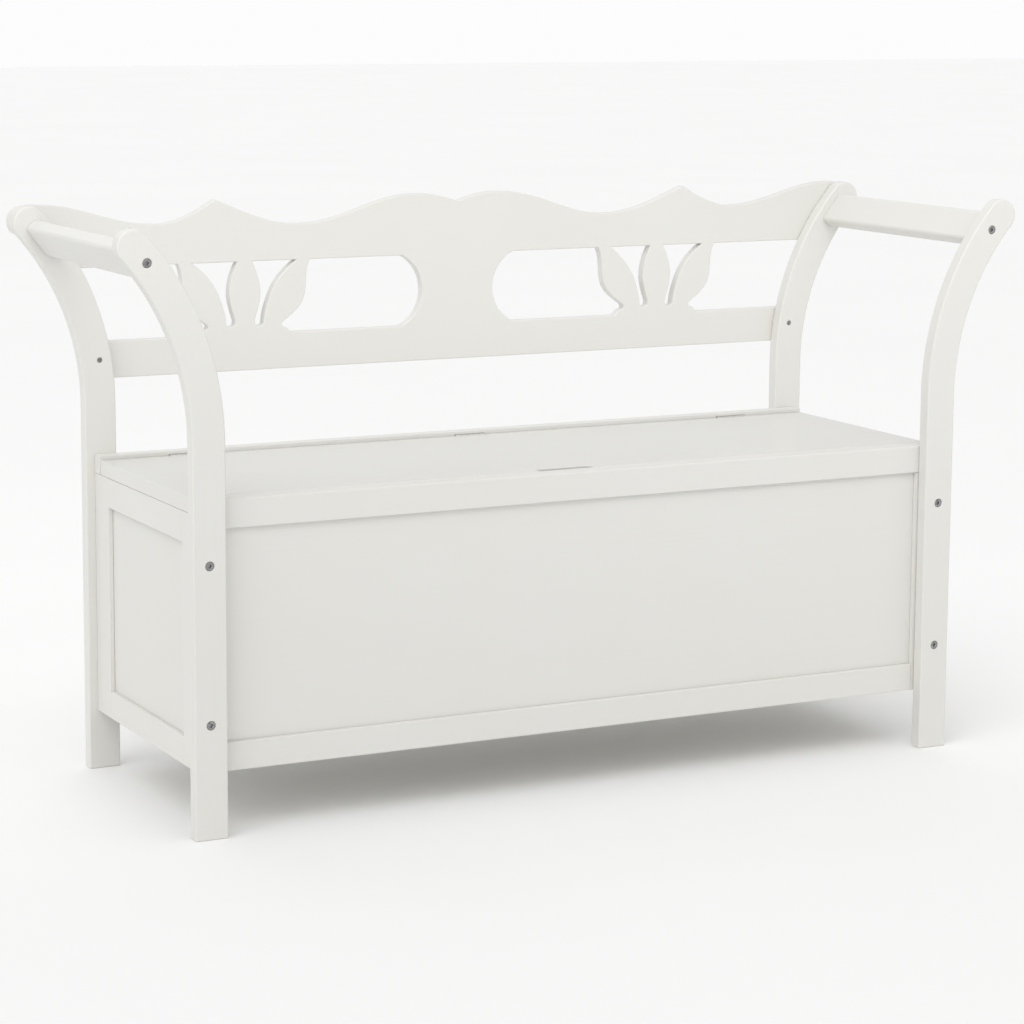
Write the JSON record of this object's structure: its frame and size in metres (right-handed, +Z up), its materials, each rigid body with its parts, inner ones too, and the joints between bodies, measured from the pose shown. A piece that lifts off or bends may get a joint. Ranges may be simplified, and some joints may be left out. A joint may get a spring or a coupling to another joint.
{
  "type": "storage bench",
  "caption": "White painted wooden hall bench: flared posts, round-edged arm rails, carved leaf back panel and a framed storage box under a hinged seat lid.",
  "frame": {"origin": "on the floor, at the middle of the bench's footprint", "axes": "+X along the bench towards its right end as seen from the front, +Y from the front to the back, +Z up"},
  "size_m": [1.287, 0.42, 0.75],
  "materials": {
    "white_paint": "satin white paint over wood",
    "lid_paint": "semi-gloss white paint over wood",
    "inner_paint": "thin white paint over wood",
    "bolt_steel": "plated steel",
    "hinge_steel": "dull steel"
  },
  "bodies": {
    "bench": {"front_left_post": "white_paint", "front_right_post": "white_paint", "rear_left_post": "white_paint", "rear_right_post": "white_paint", "left_arm_rail": "white_paint", "right_arm_rail": "white_paint", "carved_back_panel": "white_paint", "left_side_front_stile": "white_paint", "left_side_rear_stile": "white_paint", "left_side_top_rail": "white_paint", "left_side_bottom_rail": "white_paint", "left_side_panel": "white_paint", "right_side_front_stile": "white_paint", "right_side_rear_stile": "white_paint", "right_side_top_rail": "white_paint", "right_side_bottom_rail": "white_paint", "right_side_panel": "white_paint", "front_left_stile": "white_paint", "front_right_stile": "white_paint", "front_bottom_rail": "white_paint", "front_top_rail": "white_paint", "front_panel": "white_paint", "rear_left_stile": "white_paint", "rear_right_stile": "white_paint", "rear_bottom_rail": "white_paint", "rear_top_rail": "white_paint", "rear_panel": "white_paint", "front_floor_cleat": "inner_paint", "rear_floor_cleat": "inner_paint", "box_floor": "inner_paint", "rear_batten": "white_paint", "left_hinge_batten_leaf": "hinge_steel", "left_hinge_pin": "hinge_steel", "middle_hinge_batten_leaf": "hinge_steel", "middle_hinge_pin": "hinge_steel", "right_hinge_batten_leaf": "hinge_steel", "right_hinge_pin": "hinge_steel", "front_left_box_bolt_lower": "bolt_steel", "front_left_box_bolt_upper": "bolt_steel", "front_right_box_bolt_lower": "bolt_steel", "front_right_box_bolt_upper": "bolt_steel", "rear_left_box_bolt_lower": "bolt_steel", "rear_left_box_bolt_upper": "bolt_steel", "rear_right_box_bolt_lower": "bolt_steel", "rear_right_box_bolt_upper": "bolt_steel", "front_left_arm_bolt": "bolt_steel", "front_right_arm_bolt": "bolt_steel", "rear_left_arm_bolt": "bolt_steel", "rear_right_arm_bolt": "bolt_steel", "rear_left_panel_screw": "bolt_steel", "rear_right_panel_screw": "bolt_steel"},
    "lid": {"lid": "lid_paint", "left_hinge_lid_leaf": "hinge_steel", "middle_hinge_lid_leaf": "hinge_steel", "right_hinge_lid_leaf": "hinge_steel"}
  },
  "joints": [
    {"name": "lid_hinge", "type": "hinge", "parent": "bench", "child": "lid", "pos_m": [0, 0.1544, 0.4171], "axis": [-1, 0, 0], "range_deg": [0, 95]}
  ]
}
